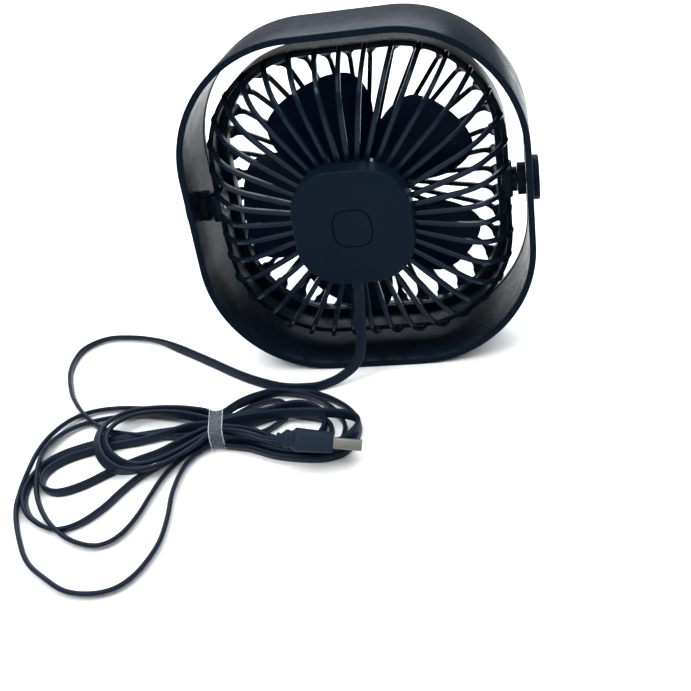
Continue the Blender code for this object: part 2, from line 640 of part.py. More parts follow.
def make_plug():
    """The plug lies half on its edge on the hank: length along its own X, width along Y."""
    points_along = PLUG_POINTS.to_track_quat('X', 'Z').to_matrix().to_4x4()
    place = Matrix.Translation(PLUG_START) @ points_along @ Matrix.Rotation(PLUG_ROLL, 4, 'X')

    # the grip swells from the lead to its body, so it is a loft through unlike sections
    sections = (grip_section(-0.0070, 0.0060, 0.0044, 0.0014),
                grip_section(-0.0042, 0.0072, 0.0056, 0.0018),
                grip_section(-0.0038, 0.0094, 0.0072, 0.0022),
                grip_section(-0.0003, 0.0100, 0.0076, 0.0024),
                grip_section(0.0003, 0.0128, 0.0088, 0.0026),
                grip_section(0.0014, 0.0136, 0.0095, 0.0028),
                grip_section(GRIP_LENGTH - 0.0010, 0.0134, 0.0082, 0.0024),
                grip_section(GRIP_LENGTH, 0.0128, 0.0076, 0.0022))
    bm = bmesh.new()
    rows = [[bm.verts.new(point) for point in section] for section in sections]
    for low, high in zip(rows, rows[1:]):
        for i in range(len(low)):
            j = (i + 1) % len(low)
            bm.faces.new((low[i], low[j], high[j], high[i]))
    bm.faces.new(rows[0][::-1])
    bm.faces.new(rows[-1])
    bmesh.ops.recalc_face_normals(bm, faces=bm.faces)
    settle(add("usb_plug_grip", to_mesh(bm, "usb_plug_grip"), NAVY, place=place))

    start = GRIP_LENGTH + GAP
    end = GRIP_LENGTH + SHELL_LENGTH
    lengthways = place @ Matrix.Rotation(-math.pi / 2, 4, 'Z')
    rounded_box("usb_plug_shell", (SHELL_WIDTH / 2, SHELL_THICKNESS / 2), 0.0006, start, end, STEEL,
                wall=SHELL_WALL, steps=3, place=lengthways)
    block("usb_plug_tongue", (start, -0.0052, -0.0015), (end - 0.0015, 0.0052, 0.0003), TONGUE,
          place=place)


make_stand()
make_rear_grille()
make_front_grille()
make_motor()
make_impeller()
make_cover()
make_button()
make_board()
make_lead()
make_plug()


# ---------------------------------------------------------------- bodies on their joints
def parent_to(name, where, children):
    holder = bpy.data.objects.new(name, None)
    holder.location = where
    PARTS.objects.link(holder)
    bpy.context.view_layer.update()
    for child in children:
        made = bpy.data.objects[child]
        made.parent = holder
        made.matrix_parent_inverse = holder.matrix_world.inverted()


parent_to("head_axis", PIVOT,
          ["rear_grille", "front_grille", "front_badge", "motor_can", "motor_end_cap", "motor_magnet",
           "front_bearing", "rear_bearing", "motor_cover", "circuit_board", "board_screw_left",
           "board_screw_right", "switch_body", "strain_relief", "pivot_bolt_left", "pivot_bolt_right"])
parent_to("blade_axis", HEAD_CENTRE, ["impeller", "motor_shaft", "motor_armature"])
parent_to("button_axis", (0.0, COVER_BACK, MIDDLE), ["power_button", "switch_plunger"])
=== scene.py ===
"""Looks for the desk fan: fine meshes, materials, the flat lead, camera and light.

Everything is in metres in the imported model's frame: +Z up, the stand's flat underside on
z = 0, the fan blowing towards -Y and its motor cover facing +Y.
"""

import math

import bmesh
import bpy
import numpy as np
from mathutils import Matrix, Vector


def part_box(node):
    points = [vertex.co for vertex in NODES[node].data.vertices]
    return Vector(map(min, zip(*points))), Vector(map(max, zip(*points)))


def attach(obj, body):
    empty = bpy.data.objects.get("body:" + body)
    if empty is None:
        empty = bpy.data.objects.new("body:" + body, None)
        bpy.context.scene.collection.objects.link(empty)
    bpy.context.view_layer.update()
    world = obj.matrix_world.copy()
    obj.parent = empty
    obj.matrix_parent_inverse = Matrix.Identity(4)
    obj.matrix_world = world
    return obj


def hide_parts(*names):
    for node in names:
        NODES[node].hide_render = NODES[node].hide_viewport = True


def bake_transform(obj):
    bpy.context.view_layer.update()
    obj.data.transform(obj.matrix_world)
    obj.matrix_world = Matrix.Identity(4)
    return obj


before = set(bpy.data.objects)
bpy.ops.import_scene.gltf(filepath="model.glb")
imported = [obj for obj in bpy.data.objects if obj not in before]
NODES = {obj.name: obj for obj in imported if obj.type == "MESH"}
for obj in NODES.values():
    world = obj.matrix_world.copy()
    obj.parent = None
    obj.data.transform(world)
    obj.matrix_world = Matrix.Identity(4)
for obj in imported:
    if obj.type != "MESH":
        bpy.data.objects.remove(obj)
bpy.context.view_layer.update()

# ---------------------------------------------------------------- sizes from the frame
BAND_LOW, BAND_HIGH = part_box("stand_band")
MIDDLE = (BAND_LOW.z + BAND_HIGH.z) / 2          # height of the head's own centre


# ---------------------------------------------------------------- camera
CAMERA_AT = Vector((-0.0664, 0.4032, 0.2346))
CAMERA_LOOKS = Vector((0.1783, -0.8508, -0.4942))
CAMERA_ROLL = math.radians(-9.3)
CAMERA_LENS = 51.2                               # millimetres, on a 36 mm sensor


def make_camera():
    """The view from behind (+Y) and above, from a little to the -X side."""
    lens = bpy.data.cameras.new("camera")
    lens.lens = CAMERA_LENS
    lens.clip_start = 0.01
    lens.clip_end = 20.0
    camera = bpy.data.objects.new("camera", lens)
    bpy.context.scene.collection.objects.link(camera)
    level = CAMERA_LOOKS.to_track_quat('-Z', 'Y').to_matrix()
    turned = level @ Matrix.Rotation(CAMERA_ROLL, 3, 'Z')
    camera.matrix_world = Matrix.Translation(CAMERA_AT) @ turned.to_4x4()
    bpy.context.scene.camera = camera


# ---------------------------------------------------------------- materials
NOISE_USED = (0.3, 0.7)          # the part of a noise's 0 to 1 that colours and gloss run over


class Look:
    """A Principled material, with short ways to wire the nodes that vary it."""

    def __init__(self, name, colour, roughness, metallic=0.0, sheen=0.5):
        self.material = bpy.data.materials.new(name)
        self.material.use_nodes = True
        self.tree = self.material.node_tree
        self.shader = self.tree.nodes["Principled BSDF"]
        self.shader.inputs["Base Color"].default_value = (*colour, 1.0)
        self.shader.inputs["Roughness"].default_value = roughness
        self.shader.inputs["Metallic"].default_value = metallic
        self.shader.inputs["Specular IOR Level"].default_value = sheen
        if metallic == 0.0:
            self.shader.inputs["Specular Tint"].default_value = (0.72, 0.86, 1.0, 1.0)

    def node(self, kind):
        return self.tree.nodes.new(kind)

    def join(self, start, end):
        self.tree.links.new(start, end)

    def noise(self, scale, detail=3.0, roughness=0.5, stretch=(1.0, 1.0, 1.0)):
        place = self.node("ShaderNodeTexCoord")
        mapping = self.node("ShaderNodeMapping")
        mapping.inputs["Scale"].default_value = stretch
        texture = self.node("ShaderNodeTexNoise")
        texture.inputs["Scale"].default_value = scale
        texture.inputs["Detail"].default_value = detail
        texture.inputs["Roughness"].default_value = roughness
        self.join(place.outputs["Object"], mapping.inputs["Vector"])
        self.join(mapping.outputs["Vector"], texture.inputs["Vector"])
        return texture.outputs["Fac"]

    def gloss(self, value, low, high):
        """Run the roughness between two numbers."""
        ranged = self.node("ShaderNodeMapRange")
        ranged.inputs["From Min"].default_value = NOISE_USED[0]
        ranged.inputs["From Max"].default_value = NOISE_USED[1]
        ranged.inputs["To Min"].default_value = low
        ranged.inputs["To Max"].default_value = high
        self.join(value, ranged.inputs["Value"])
        self.join(ranged.outputs["Result"], self.shader.inputs["Roughness"])

    def tint(self, value, first, second):
        """Run the base colour between two colours."""
        ramp = self.node("ShaderNodeValToRGB")
        for end, colour in enumerate((first, second)):
            ramp.color_ramp.elements[end].position = NOISE_USED[end]
            ramp.color_ramp.elements[end].color = (*colour, 1.0)
        self.join(value, ramp.inputs["Fac"])
        self.join(ramp.outputs["Color"], self.shader.inputs["Base Color"])

    def bump(self, value, depth, strength):
        made = self.node("ShaderNodeBump")
        made.inputs["Distance"].default_value = depth
        made.inputs["Strength"].default_value = strength
        self.join(value, made.inputs["Height"])
        self.join(made.outputs["Normal"], self.shader.inputs["Normal"])


def moulded(name, dark, light, roughness, sheen=0.3, grain=2600.0, depth=0.00002):
    """Moulded plastic: faint flow in its colour, an uneven sheen and a fine spark texture."""
    look = Look(name, light, roughness, sheen=sheen)
    look.tint(look.noise(38.0, 4.0), dark, light)
    look.gloss(look.noise(160.0, 5.0), roughness - 0.05, roughness + 0.06)
    look.bump(look.noise(grain, 2.0), depth, 0.6)
    return look.material


def sheet_metal(name, dark, light, roughness, stretch):
    """Plated sheet: streaks along the way it was rolled, and a few duller patches."""
    look = Look(name, light, roughness, 1.0)
    look.tint(look.noise(900.0, 4.0, 0.6, stretch), dark, light)
    look.gloss(look.noise(240.0, 3.0), roughness - 0.06, roughness + 0.10)
    look.bump(look.noise(1500.0, 2.0, 0.5, stretch), 0.00001, 0.5)
    return look.material


def make_cord_jacket():
    """The lead's soft, slightly shiny jacket."""
    look = Look("cord_jacket", (0.004, 0.008, 0.016), 0.36, sheen=0.09)
    look.tint(look.noise(60.0, 3.0), (0.003, 0.006, 0.013), (0.005, 0.009, 0.019))
    look.gloss(look.noise(420.0, 4.0), 0.34, 0.50)
    look.bump(look.noise(1800.0, 2.0), 0.00001, 0.5)
    return look.material


def make_film(name, colour, alpha):
    """Clear film with an uneven, creased surface."""
    look = Look(name, colour, 0.18)
    look.shader.inputs["Alpha"].default_value = alpha
    look.gloss(look.noise(500.0, 3.0), 0.10, 0.30)
    look.bump(look.noise(700.0, 4.0), 0.0002, 0.8)
    return look.material


NAVY = moulded("navy_plastic", (0.0018, 0.0050, 0.0106), (0.0025, 0.0062, 0.0130), 0.44, 0.05)
NAVY_BAND = moulded("band_plastic", (0.0024, 0.0054, 0.0104), (0.0032, 0.0068, 0.0126),
                    0.25, 0.018, depth=0.000003)
NAVY_GRILLE = moulded("grille_plastic", (0.0024, 0.0058, 0.0112), (0.0038, 0.0084, 0.0155),
                      0.15, 0.11, depth=0.000004)
# the rim and its pivots use the grille's own plastic made darker and less glossy: painted shade
# standing in for the hoop's shade on the rim
NAVY_RIM_PAINTED_SHADE = moulded("rim_plastic_painted_shade", (0.0016, 0.0038, 0.0074), (0.0024, 0.0052, 0.0098),
                   0.27, 0.035, depth=0.000004)
NAVY_BLADE = moulded("blade_plastic", (0.0006, 0.0022, 0.0080), (0.0009, 0.0031, 0.0105),
                     0.30, 0.045, depth=0.000006)
GRIP = moulded("grip_plastic", (0.0070, 0.0116, 0.0205), (0.0090, 0.0144, 0.0245), 0.55, 0.08,
               grain=1500.0, depth=0.00004)
BLACK = moulded("black_plastic", (0.008, 0.008, 0.010), (0.014, 0.014, 0.016), 0.60)
RUBBER = moulded("rubber", (0.0014, 0.0026, 0.0052), (0.0022, 0.0038, 0.0074), 0.60, 0.06,
                 grain=1800.0)
WHITE = moulded("white_plastic", (0.66, 0.66, 0.62), (0.78, 0.78, 0.75), 0.45)
BOARD = moulded("board_green", (0.015, 0.105, 0.045), (0.025, 0.150, 0.062), 0.40)
FERRITE = moulded("ferrite", (0.030, 0.030, 0.032), (0.050, 0.050, 0.052), 0.65)
COPPER = sheet_metal("wound_copper", (0.40, 0.15, 0.06), (0.66, 0.30, 0.13), 0.35, (1.0, 20.0, 1.0))
BRONZE = sheet_metal("bronze", (0.38, 0.25, 0.12), (0.52, 0.36, 0.18), 0.45, (1.0, 1.0, 1.0))
STEEL = sheet_metal("zinc_steel", (0.42, 0.42, 0.41), (0.60, 0.60, 0.58), 0.32, (1.0, 12.0, 1.0))
PLUG_STEEL = sheet_metal("plug_steel", (0.11, 0.11, 0.097), (0.16, 0.16, 0.141), 0.46,
                         (10.0, 1.0, 1.0))
CORD = make_cord_jacket()
FILM = make_film("clear_film", (0.30, 0.34, 0.38), 0.08)
# the film's curled edges are drawn whiter and more opaque than the film itself: a painted highlight
# of the white glint along their folds
FILM_EDGE_HIGHLIGHT = make_film("film_edge_painted_highlight", (0.86, 0.88, 0.88), 0.30)

# the nodes that show as they are; the others are replaced by the fine pieces below
NODE_LOOKS = {
    "pivot_bolt_left": STEEL, "pivot_bolt_right": STEEL, "front_badge": NAVY, "motor_can": STEEL,
    "motor_end_cap": BLACK, "motor_magnet": FERRITE, "front_bearing": BRONZE,
    "rear_bearing": BRONZE, "motor_armature": COPPER, "motor_shaft": STEEL,
    "circuit_board": BOARD, "board_screw_left": STEEL, "board_screw_right": STEEL,
    "switch_body": BLACK, "switch_plunger": WHITE, "usb_plug_tongue": WHITE,
}


def dress_nodes():
    """Give the CAD nodes that stay visible their looks."""
    for name, look in NODE_LOOKS.items():
        slots = NODES[name].material_slots
        for material_slot in slots:
            material_slot.material = look
        if not slots:
            NODES[name].data.materials.append(look)


# ---------------------------------------------------------------- mesh helpers
def piece(name, bm, look, slot, body, *replaced, sharp=40.0):
    """Turn a bmesh into a smooth-shaded piece that rides on a body."""
    bmesh.ops.recalc_face_normals(bm, faces=bm.faces)
    mesh = bpy.data.meshes.new(name)
    bm.to_mesh(mesh)
    bm.free()
    mesh.shade_smooth()
    mesh.set_sharp_from_angle(angle=math.radians(sharp))
    made = bpy.data.objects.new(name, mesh)
    bpy.context.scene.collection.objects.link(made)
    made.data.materials.append(look)
    if body is not None:
        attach(made, body)
    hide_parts(*replaced)
    return made


def skin(bm, rows, closed=False):
    """Join loops of points with faces. The ends are capped, or joined when closed is true."""
    made = [[bm.verts.new(point) for point in row] for row in rows]
    pairs = list(zip(made, made[1:]))
    if closed:
        pairs.append((made[-1], made[0]))
    for low, high in pairs:
        for i in range(len(low)):
            j = (i + 1) % len(low)
            bm.faces.new((low[i], low[j], high[j], high[i]))
    if not closed:
        bm.faces.new(made[0][::-1])
        bm.faces.new(made[-1])


CURVE_STEPS = 24                 # samples along each span, before they are evened out


def smooth_points(points, spacing):
    """Points at an even spacing along a Catmull-Rom curve through the given ones."""
    points = [Vector(point) for point in points]
    last = len(points) - 1
    fine = []
    for i in range(last):
        four = [points[min(max(i + k, 0), last)] for k in (-1, 0, 1, 2)]
        for step in range(CURVE_STEPS):
            t = step / CURVE_STEPS
            fine.append(0.5 * (2 * four[1] + (four[2] - four[0]) * t
                               + (2 * four[0] - 5 * four[1] + 4 * four[2] - four[3]) * t * t
                               + (3 * four[1] - four[0] - 3 * four[2] + four[3]) * t ** 3))
    fine.append(points[-1])
    lengths = [0.0]
    for a, b in zip(fine, fine[1:]):
        lengths.append(lengths[-1] + (b - a).length)
    steps = max(2, round(lengths[-1] / spacing))
    even, at = [], 0
    for step in range(steps + 1):
        target = lengths[-1] * step / steps
        while at < len(lengths) - 2 and lengths[at + 1] < target:
            at += 1
        share = (target - lengths[at]) / (lengths[at + 1] - lengths[at])
        even.append(fine[at].lerp(fine[at + 1], share))
    return even


# ---------------------------------------------------------------- the lead
CORD_WIDE = 0.0046
CORD_THICK = 0.0018
TABLE_GAP = 0.00005             # the lead clears z = 0 by this, and the floor is as far below it
SAMPLE_SPACING = 0.0020
LEAN_EVENED = 11                # samples over which a change of lean is spread
HANGS_TO = (0.0080, 0.0320)     # heights between which the lead turns from hanging to lying
HANGING_LENGTH = 0.08           # how far along the lead it can still be hanging
EDGE_STEPS = 8                  # faces round each edge of the lead
MILLIMETRE = 0.001

# the route in millimetres, from the strain relief to the plug, run by run; left and right are
# as seen from behind, so the left is at +X; the second value is how the flat lead leans over
# from standing on its edge, as the (x, y) it leans by for each unit of height
ROUTE = (
    ("down from the cover", (0.0, 0.0), (
        (1.8, 30.4, 47.4), (2.2, 30.8, 41.0), (2.8, 31.3, 33.0), (3.6, 32.0, 24.0),
        (5.0, 32.8, 16.0), (8.0, 33.6, 10.0), (12.5, 34.6, 6.2), (19.0, 36.5, 3.4),
        (29.0, 38.8, 2.1))),
    ("across the table", (0.0, -0.35), (
        (43.0, 37.2, 2.1), (62.0, 27.0, 2.1), (84.0, 10.4, 2.1), (103.0, -3.6, 2.1))),
    ("round the far bend", (-0.3, 1.0), (
        (120.0, -14.5, 2.1), (135.0, -18.6, 2.1), (146.5, -18.2, 2.1), (154.8, -10.2, 2.1),
        (156.0, 2.8, 2.1), (153.0, 17.2, 2.1), (146.0, 33.0, 2.1), (140.5, 42.0, 2.1))),
    ("in under the loops and through the tie", (0.0, 0.4), (
        (134.0, 50.5, 2.1), (125.0, 60.0, 2.1), (115.0, 67.0, 2.1), (103.0, 70.5, 2.1),
        (90.0, 72.0, 2.1), (77.0, 72.6, 2.3), (65.0, 72.4, 2.7))),
    ("innermost turn on the right", (0.0, 0.9), (
        (57.0, 73.2, 2.3), (49.0, 73.4, 1.9), (42.0, 70.0, 1.6), (37.0, 63.0, 1.6),
        (36.5, 55.0, 1.6), (40.5, 48.8, 1.7), (47.5, 48.4, 1.9), (54.0, 53.0, 2.2),
        (59.5, 59.5, 2.5), (65.0, 64.6, 2.7))),
    ("second loop on the left", (-0.6, 1.15), (
        (74.0, 61.5, 2.5), (86.0, 57.5, 2.2), (98.0, 55.0, 2.1), (110.0, 54.5, 2.1),
        (121.0, 56.0, 2.1), (131.0, 60.0, 2.2), (137.3, 67.5, 2.8), (139.4, 80.0, 4.4),
        (137.6, 93.0, 4.2), (132.0, 109.0, 2.6), (122.0, 124.0, 2.1), (110.0, 135.0, 2.1),
        (99.0, 140.0, 2.1), (92.0, 139.6, 2.1), (87.0, 134.0, 2.1), (84.0, 124.0, 2.1),
        (82.5, 112.0, 2.1), (80.6, 100.0, 2.1), (77.0, 90.0, 2.1), (71.5, 82.0, 2.4),
        (65.0, 77.6, 2.7))),
    ("wide turn on the right", (0.0, 0.3), (
        (57.0, 78.4, 2.3), (47.0, 80.6, 2.1), (36.0, 86.0, 2.1), (26.0, 88.6, 2.1),
        (17.6, 89.2, 2.1), (11.8, 86.2, 2.1), (8.8, 80.0, 2.1), (8.8, 71.4, 2.1),
        (12.0, 63.2, 2.1), (18.0, 55.2, 2.1), (25.0, 48.4, 2.3), (34.0, 44.4, 3.0),
        (43.5, 44.2, 4.2), (51.0, 48.4, 5.4), (57.5, 55.6, 6.6), (65.0, 67.2, 7.4))),
    ("outer loop on the left", (-0.65, 1.1), (
        (72.0, 65.0, 6.0), (80.0, 60.0, 3.6), (90.0, 54.5, 2.4), (102.0, 49.8, 2.1),
        (116.0, 47.9, 2.1), (129.0, 49.4, 2.1), (137.6, 56.0, 2.4), (141.6, 68.0, 3.4),
        (142.0, 82.0, 4.6), (141.0, 96.0, 4.2), (139.8, 109.0, 2.4), (136.0, 121.0, 2.1),
        (128.0, 136.0, 2.1), (119.0, 149.0, 2.1), (108.0, 158.0, 2.1), (98.0, 164.0, 2.1),
        (88.0, 165.4, 2.1), (80.0, 163.0, 2.1), (75.0, 157.0, 2.1), (72.0, 148.5, 2.1),
        (70.5, 138.0, 2.1), (71.4, 125.0, 2.1), (73.6, 111.0, 2.1), (73.8, 98.0, 2.1),
        (71.6, 88.0, 2.2), (65.0, 80.2, 2.7))),
    ("outermost turn on the right", (0.0, 0.5), (
        (57.0, 81.4, 2.3), (48.0, 83.4, 2.1), (36.0, 89.0, 2.1), (25.0, 91.6, 2.1),
        (15.0, 92.2, 2.1), (7.6, 89.0, 2.1), (3.4, 81.0, 2.1), (3.0, 70.0, 2.1),
        (7.0, 60.6, 2.1), (14.5, 52.0, 2.1), (24.0, 45.2, 2.1), (33.0, 42.2, 2.2),
        (42.0, 43.4, 3.0), (50.4, 48.0, 4.4), (57.8, 56.0, 6.2), (65.0, 64.6, 7.4))),
    ("large inner loop on the left", (-1.5, 0.5), (
        (73.0, 61.8, 7.4), (84.0, 58.8, 7.2), (97.0, 57.0, 6.8), (107.0, 57.6, 6.4),
        (114.0, 62.0, 6.2), (116.8, 70.2, 6.2), (115.0, 81.0, 6.2), (108.0, 92.6, 6.2),
        (99.4, 99.6, 6.2), (90.5, 100.8, 6.2), (82.0, 97.8, 6.4), (74.6, 91.6, 6.8),
        (69.4, 85.6, 7.2), (65.0, 80.2, 7.4))),
    ("third turn on the right", (0.0, 0.4), (
        (58.0, 80.6, 6.4), (50.0, 80.2, 4.6), (42.0, 81.8, 3.4), (34.5, 84.4, 2.2),
        (27.6, 86.0, 2.1), (21.4, 85.4, 2.1), (16.4, 81.8, 2.1), (14.2, 75.4, 2.1),
        (15.4, 69.0, 2.1), (20.2, 64.4, 2.1), (27.4, 62.0, 2.4), (35.0, 61.4, 3.4),
        (42.0, 63.4, 3.4), (51.0, 66.6, 2.8), (58.0, 67.6, 2.7), (65.0, 67.2, 2.7))),
    ("third loop on the left", (0.0, -0.8), (
        (76.0, 67.6, 2.4), (88.0, 69.2, 1.8), (100.0, 71.4, 1.5), (111.0, 73.6, 1.5),
        (121.0, 77.0, 1.5), (130.5, 82.4, 1.4), (136.4, 90.0, 1.3))),
    ("third loop's way back", (0.0, 0.8), (
        (138.6, 100.0, 1.9), (136.8, 111.0, 2.1), (131.0, 121.0, 2.1), (122.5, 128.0, 2.1),
        (114.0, 131.0, 2.1), (106.0, 127.6, 2.1), (99.5, 119.0, 2.1), (95.0, 108.5, 2.1),
        (90.0, 99.0, 2.1), (83.0, 90.6, 2.1), (75.0, 81.0, 2.3), (65.0, 75.0, 2.7))),
    ("turn over the top on the right", (0.0, -0.1), (
        (58.0, 75.0, 2.4), (50.0, 76.6, 2.1), (42.0, 79.0, 2.1), (34.0, 81.6, 2.1),
        (26.0, 83.4, 2.1), (16.5, 83.6, 2.2), (8.6, 82.6, 3.6), (4.2, 79.4, 5.4),
        (2.2, 74.8, 6.2), (4.2, 70.0, 6.4), (10.5, 67.0, 6.4), (22.0, 65.0, 6.4),
        (37.0, 64.6, 6.4), (50.0, 66.8, 6.8), (58.0, 69.6, 7.1), (65.0, 72.4, 7.4))),
    ("fourth loop on the left", (0.0, 0.25), (
        (76.0, 71.0, 6.0), (87.0, 72.8, 4.0), (98.0, 75.4, 2.6), (109.0, 77.6, 2.2),
        (119.5, 81.4, 2.1), (128.5, 86.6, 2.1), (133.4, 93.6, 2.1), (132.8, 101.6, 2.1),
        (128.0, 107.0, 2.1), (121.5, 108.2, 2.1), (113.5, 104.2, 2.1), (105.0, 96.6, 2.1),
        (96.0, 89.4, 2.1), (86.0, 83.6, 2.6), (76.0, 78.0, 4.6), (65.0, 75.0, 7.4))),
    ("fourth turn on the right", (0.0, 0.1), (
        (58.0, 74.6, 6.8), (50.0, 74.4, 5.2), (43.0, 76.0, 3.6), (36.4, 78.6, 2.4),
        (30.4, 80.4, 2.1), (24.4, 80.4, 2.1), (19.6, 76.8, 2.3), (17.6, 70.6, 3.2),
        (18.8, 64.2, 4.6), (23.4, 59.8, 5.6), (29.6, 57.8, 6.1), (36.0, 58.8, 6.3),
        (43.0, 62.2, 6.4), (52.0, 65.2, 6.8), (59.0, 67.8, 7.1), (65.0, 69.8, 7.4))),
    ("small inner loop on the left", (-1.5, 0.5), (
        (75.0, 66.0, 7.4), (87.0, 62.2, 7.2), (98.4, 60.8, 6.9), (107.4, 62.8, 6.6),
        (112.6, 69.4, 6.4), (112.2, 79.2, 6.4), (106.2, 89.2, 6.4), (98.0, 95.8, 6.4),
        (89.2, 96.8, 6.4), (80.0, 92.0, 6.8), (72.6, 84.8, 7.2), (65.0, 77.6, 7.4))),
    ("up to the plug", (0.0, 1.2), (
        (57.0, 79.6, 9.2), (49.5, 84.4, 11.8), (43.0, 90.0, 14.2), (37.6, 94.4, 15.6),
        (32.6, 95.8, 15.4), (30.4, 95.7, 14.9))),
)


def route_samples():
    """The lead's centreline and, for each of its points, the direction of its wide side."""
    points, leans = [], []
    for _, lean, run in ROUTE:
        points.extend(Vector(point) * MILLIMETRE for point in run)
        leans.extend([lean] * len(run))
    centre = smooth_points(points, SAMPLE_SPACING)

    # how the lead leans at each sample: that of the nearest route point, then evened out
    lean_at, at = [], 0
    for sample in centre:
        while (at < len(points) - 1
               and (points[at + 1] - sample).length < (points[at] - sample).length):
            at += 1
        lean_at.append(leans[at])
    lean_at = np.array(lean_at)
    half = LEAN_EVENED // 2
    kernel = np.ones(LEAN_EVENED) / LEAN_EVENED
    lean_at = np.stack([np.convolve(np.pad(lean_at[:, k], half, mode="edge"), kernel, mode="valid")
                        for k in (0, 1)], axis=1)

    wide = []
    low, high = HANGS_TO
    for i, point in enumerate(centre):
        along = (centre[min(i + 1, len(centre) - 1)] - centre[max(i - 1, 0)]).normalized()
        lying = Vector((*lean_at[i], 1.0)).normalized()
        share = 0.0
        if i * SAMPLE_SPACING < HANGING_LENGTH:
            share = min(max((point.z - low) / (high - low), 0.0), 1.0)
        goal = lying.lerp(Vector((1.0, 0.0, 0.0)), share * share * (3 - 2 * share))
        wide.append((goal - along * goal.dot(along)).normalized())
        half_height = abs(wide[-1].z) * (CORD_WIDE - CORD_THICK) / 2 + CORD_THICK / 2
        point.z = max(point.z, half_height + TABLE_GAP)
    return centre, wide


def flat_section():
    """Outline of the flat lead: a rectangle with full round edges, as (across, through)."""
    radius = CORD_THICK / 2
    outline = []
    for side in (1, -1):
        for step in range(EDGE_STEPS + 1):
            angle = math.pi / 2 - math.pi * step / EDGE_STEPS
            outline.append((side * (CORD_WIDE / 2 - radius + radius * math.cos(angle)),
                            side * radius * math.sin(angle)))
    return outline


def make_lead(pieces_on_it):
    """The whole flat lead as one piece, from where it hangs under the head to the plug."""
    centre, wide = route_samples()
    section = flat_section()
    rows = []
    for i, point in enumerate(centre):
        along = (centre[min(i + 1, len(centre) - 1)] - centre[max(i - 1, 0)]).normalized()
        thin = along.cross(wide[i]).normalized()
        rows.append([point + wide[i] * a + thin * b for a, b in section])
    bm = bmesh.new()
    skin(bm, rows)
    lead = piece("flat_lead", bm, CORD, "cord_jacket", None, "usb_cord", "cord_hank_run",
                 "cord_loops", "cord_hank_left", "cord_hank_right")
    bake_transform(lead)


# ---------------------------------------------------------------- fine shapes: outlines
SMALLEST_CORNER = 0.0002
FILLET_STEPS = 4


def rounded_square(half_wide, half_high, corner, y, steps):
    """Points of a rounded rectangle about the head's axis, counter-clockwise seen from -Y."""
    points = []
    for quarter, (side_x, side_z) in enumerate(((1, 1), (-1, 1), (-1, -1), (1, -1))):
        turn_x = side_x * (half_wide - corner)
        turn_z = MIDDLE + side_z * (half_high - corner)
        for step in range(steps + 1):
            angle = math.pi / 2 * (quarter + step / steps)
            points.append(Vector((turn_x + corner * math.cos(angle), y,
                                  turn_z + corner * math.sin(angle))))
    return points


def rounded_rings(bm, half_wide, half_high, corner, profile, steps, closed=False):
    """A rounded rectangle moved inwards by each (inset, y) of a profile, skinned into one body."""
    rows = []
    for inset, y in profile:
        rows.append(rounded_square(half_wide - inset, half_high - inset,
                                   max(corner - inset, SMALLEST_CORNER), y, steps))
    skin(bm, rows, closed=closed)


def fillet(start, corner, end, radius):
    """Points of a curve that rounds a corner of a profile."""
    corner = Vector(corner)
    one = (Vector(start) - corner).normalized()
    two = (Vector(end) - corner).normalized()
    reach = radius / math.tan(one.angle(two) / 2)
    first, last = corner + one * reach, corner + two * reach
    points = []
    for step in range(FILLET_STEPS + 1):
        t = step / FILLET_STEPS
        points.append(tuple(first * (1 - t) ** 2 + corner * 2 * t * (1 - t) + last * t ** 2))
    return points


def eased(profile, radius, closed=True):
    """A profile with its corners rounded; radius is one number, or one for each corner."""
    points = []
    count = len(profile)
    for i, point in enumerate(profile):
        size = radius[i] if hasattr(radius, "__len__") else radius
        if size <= 0.0 or (not closed and i in (0, count - 1)):
            points.append(tuple(point))
        else:
            points.extend(fillet(profile[i - 1], point, profile[(i + 1) % count], size))
    return points


def turned_piece(bm, profile, axis, centre, sides=64):
    """A profile of (radius, along) turned round X or Y.

    One that starts at radius 0 also ends there, and is a solid; any other closes into a ring.
    """
    along_axis = {'X': Vector((1, 0, 0)), 'Y': Vector((0, 1, 0))}[axis]
    first = {'X': Vector((0, 1, 0)), 'Y': Vector((1, 0, 0))}[axis]
    second = along_axis.cross(first)
    solid = profile[0][0] == 0.0
    inner = profile[1:-1] if solid else profile
    rows = []
    for radius, along in inner:
        row = []
        for step in range(sides):
            angle = 2 * math.pi * step / sides
            row.append(Vector(centre) + along_axis * along
                       + (first * math.cos(angle) + second * math.sin(angle)) * radius)
        rows.append(row)
    skin(bm, rows, closed=not solid)


# ---------------------------------------------------------------- stand
BAND_WALL = 0.0027
BAND_CORNER = 0.0550
BAND_EDGE = 0.0026               # width of the hoop's thick edges
BAND_STEP = 0.0003               # how much thinner its wall is between them, on the inside
WASHER_BORE = 0.0021             # radius
WASHER_REACH = 0.0002            # how much further a washer goes than in the CAD, to that wall


